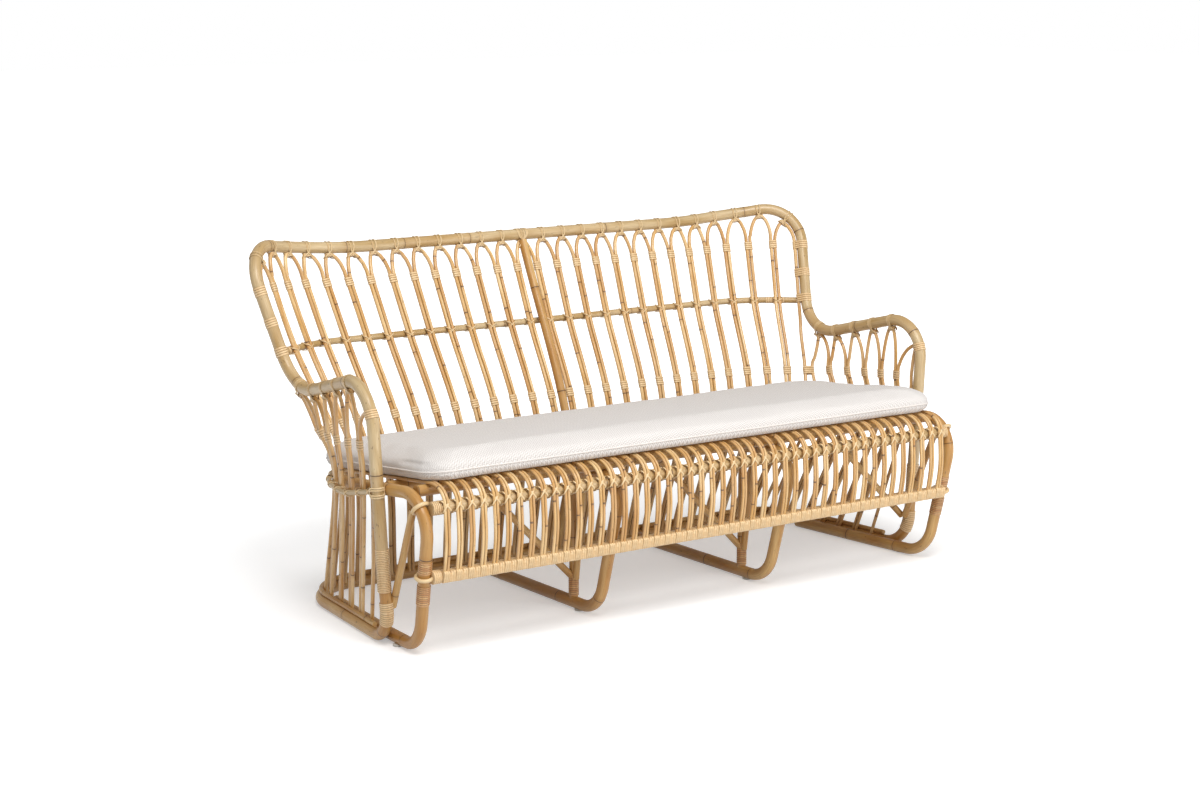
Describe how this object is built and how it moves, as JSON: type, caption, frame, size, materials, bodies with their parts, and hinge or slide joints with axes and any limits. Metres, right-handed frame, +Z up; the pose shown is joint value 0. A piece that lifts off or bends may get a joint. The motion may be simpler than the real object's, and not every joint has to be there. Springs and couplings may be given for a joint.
{
  "type": "rattan garden sofa",
  "caption": "Garden sofa of bent rattan poles and bound cane rods, with a curved open back, low arms, a rod apron in front and one long loose seat cushion.",
  "frame": {"origin": "middle of the footprint, on the floor", "axes": "+X along the length, towards the right end as seen from the front; +Y towards the back; +Z up"},
  "size_m": [1.768, 0.8938, 0.9058],
  "materials": {
    "rattan_pole": "satin varnished thick rattan pole with nodes",
    "cane_rod": "satin varnished thin cane rod",
    "wrapped_rail": "rattan rail bound in flat cane strip",
    "cushion_fabric": "pale herringbone weave over foam",
    "glide": "pale moulded pad"
  },
  "bodies": {
    "frame": {"upper_frame_pole": "rattan_pole", "base_pole": "rattan_pole", "base_thin_pole": "rattan_pole", "waist_ring": "rattan_pole", "end_leg_loop_left": "rattan_pole", "middle_leg_loop_left": "rattan_pole", "middle_post_left": "rattan_pole", "end_brace_left": "rattan_pole", "arm_rods_left": "cane_rod", "end_glide_left": "glide", "middle_glide_left": "glide", "end_leg_loop_right": "rattan_pole", "middle_leg_loop_right": "rattan_pole", "middle_post_right": "rattan_pole", "end_brace_right": "rattan_pole", "arm_rods_right": "cane_rod", "end_glide_right": "glide", "middle_glide_right": "glide", "front_seat_rail": "wrapped_rail", "front_bottom_rail": "wrapped_rail", "front_cross_pole": "rattan_pole", "middle_cross_pole": "rattan_pole", "rear_cross_pole": "rattan_pole", "mid_back_rail": "rattan_pole", "centre_back_post": "rattan_pole", "back_rod_pair_01": "cane_rod", "back_rod_pair_02": "cane_rod", "back_rod_pair_03": "cane_rod", "back_rod_pair_04": "cane_rod", "back_rod_pair_05": "cane_rod", "back_rod_pair_06": "cane_rod", "back_rod_pair_07": "cane_rod", "back_rod_pair_08": "cane_rod", "back_rod_pair_09": "cane_rod", "back_rod_pair_10": "cane_rod", "back_rod_pair_11": "cane_rod", "back_rod_pair_12": "cane_rod", "back_rod_pair_13": "cane_rod", "back_rod_pair_14": "cane_rod", "back_rod_pair_15": "cane_rod", "back_rod_pair_16": "cane_rod", "back_rod_pair_17": "cane_rod", "back_rod_pair_18": "cane_rod", "back_rod_pair_19": "cane_rod", "back_rod_pair_20": "cane_rod", "back_rod_pair_21": "cane_rod", "back_rod_pair_22": "cane_rod", "back_rod_pair_23": "cane_rod", "back_rod_pair_24": "cane_rod", "back_rod_pair_25": "cane_rod", "back_rod_pair_26": "cane_rod", "seat_rods_1": "cane_rod", "seat_rods_2": "cane_rod", "seat_rods_3": "cane_rod", "seat_rods_4": "cane_rod", "seat_rods_5": "cane_rod", "seat_rods_6": "cane_rod"},
    "cushion": {"seat_cushion": "cushion_fabric"}
  },
  "joints": [
    {"name": "cushion_lift", "type": "slide", "parent": "frame", "child": "cushion", "axis": [0, 0, 1], "range_m": [0, 0.3]}
  ]
}
